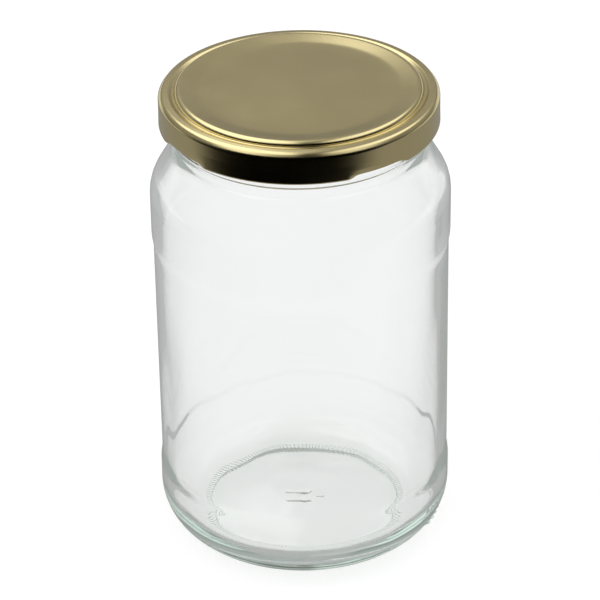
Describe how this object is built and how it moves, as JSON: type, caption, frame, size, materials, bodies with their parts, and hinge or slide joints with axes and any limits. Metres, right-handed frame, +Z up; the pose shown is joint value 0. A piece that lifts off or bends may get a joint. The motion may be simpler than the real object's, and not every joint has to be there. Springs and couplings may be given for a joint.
{
  "type": "preserving jar",
  "caption": "Tall round clear glass preserving jar with two contact rings, closed by a gold lacquered metal lug lid with a stepped centre panel that twists off.",
  "frame": {"origin": "centre of the plane the jar stands on", "axes": "+Z up along the jar's axis; -Y is the front, and the first lug of the closed lid is 34 degrees from +X towards +Y"},
  "size_m": [0.0925, 0.0924, 0.1535],
  "materials": {
    "clear_glass": "clear moulded soda-lime glass",
    "gold_lacquer": "satin gold lacquer on tinplate, white lacquer inside",
    "plastisol": "matte flowed-in sealing compound"
  },
  "bodies": {
    "jar": {"glass_jar": "clear_glass"},
    "seal": {"liner_ring": "plastisol"},
    "lid": {"lid_shell": "gold_lacquer"}
  },
  "joints": [
    {"name": "lid_lift", "type": "slide", "parent": "jar", "child": "seal", "axis": [0, 0, 1], "range_m": [0, 0.015]},
    {"name": "lid_turn", "type": "hinge", "parent": "seal", "child": "lid", "pos_m": [0, 0, 0.1475], "axis": [0, 0, 1], "range_deg": [0, 360]}
  ],
  "couplings": [
    {"joint": "lid_lift", "follows": "lid_turn", "m_per_rad": 0.0023873}
  ]
}
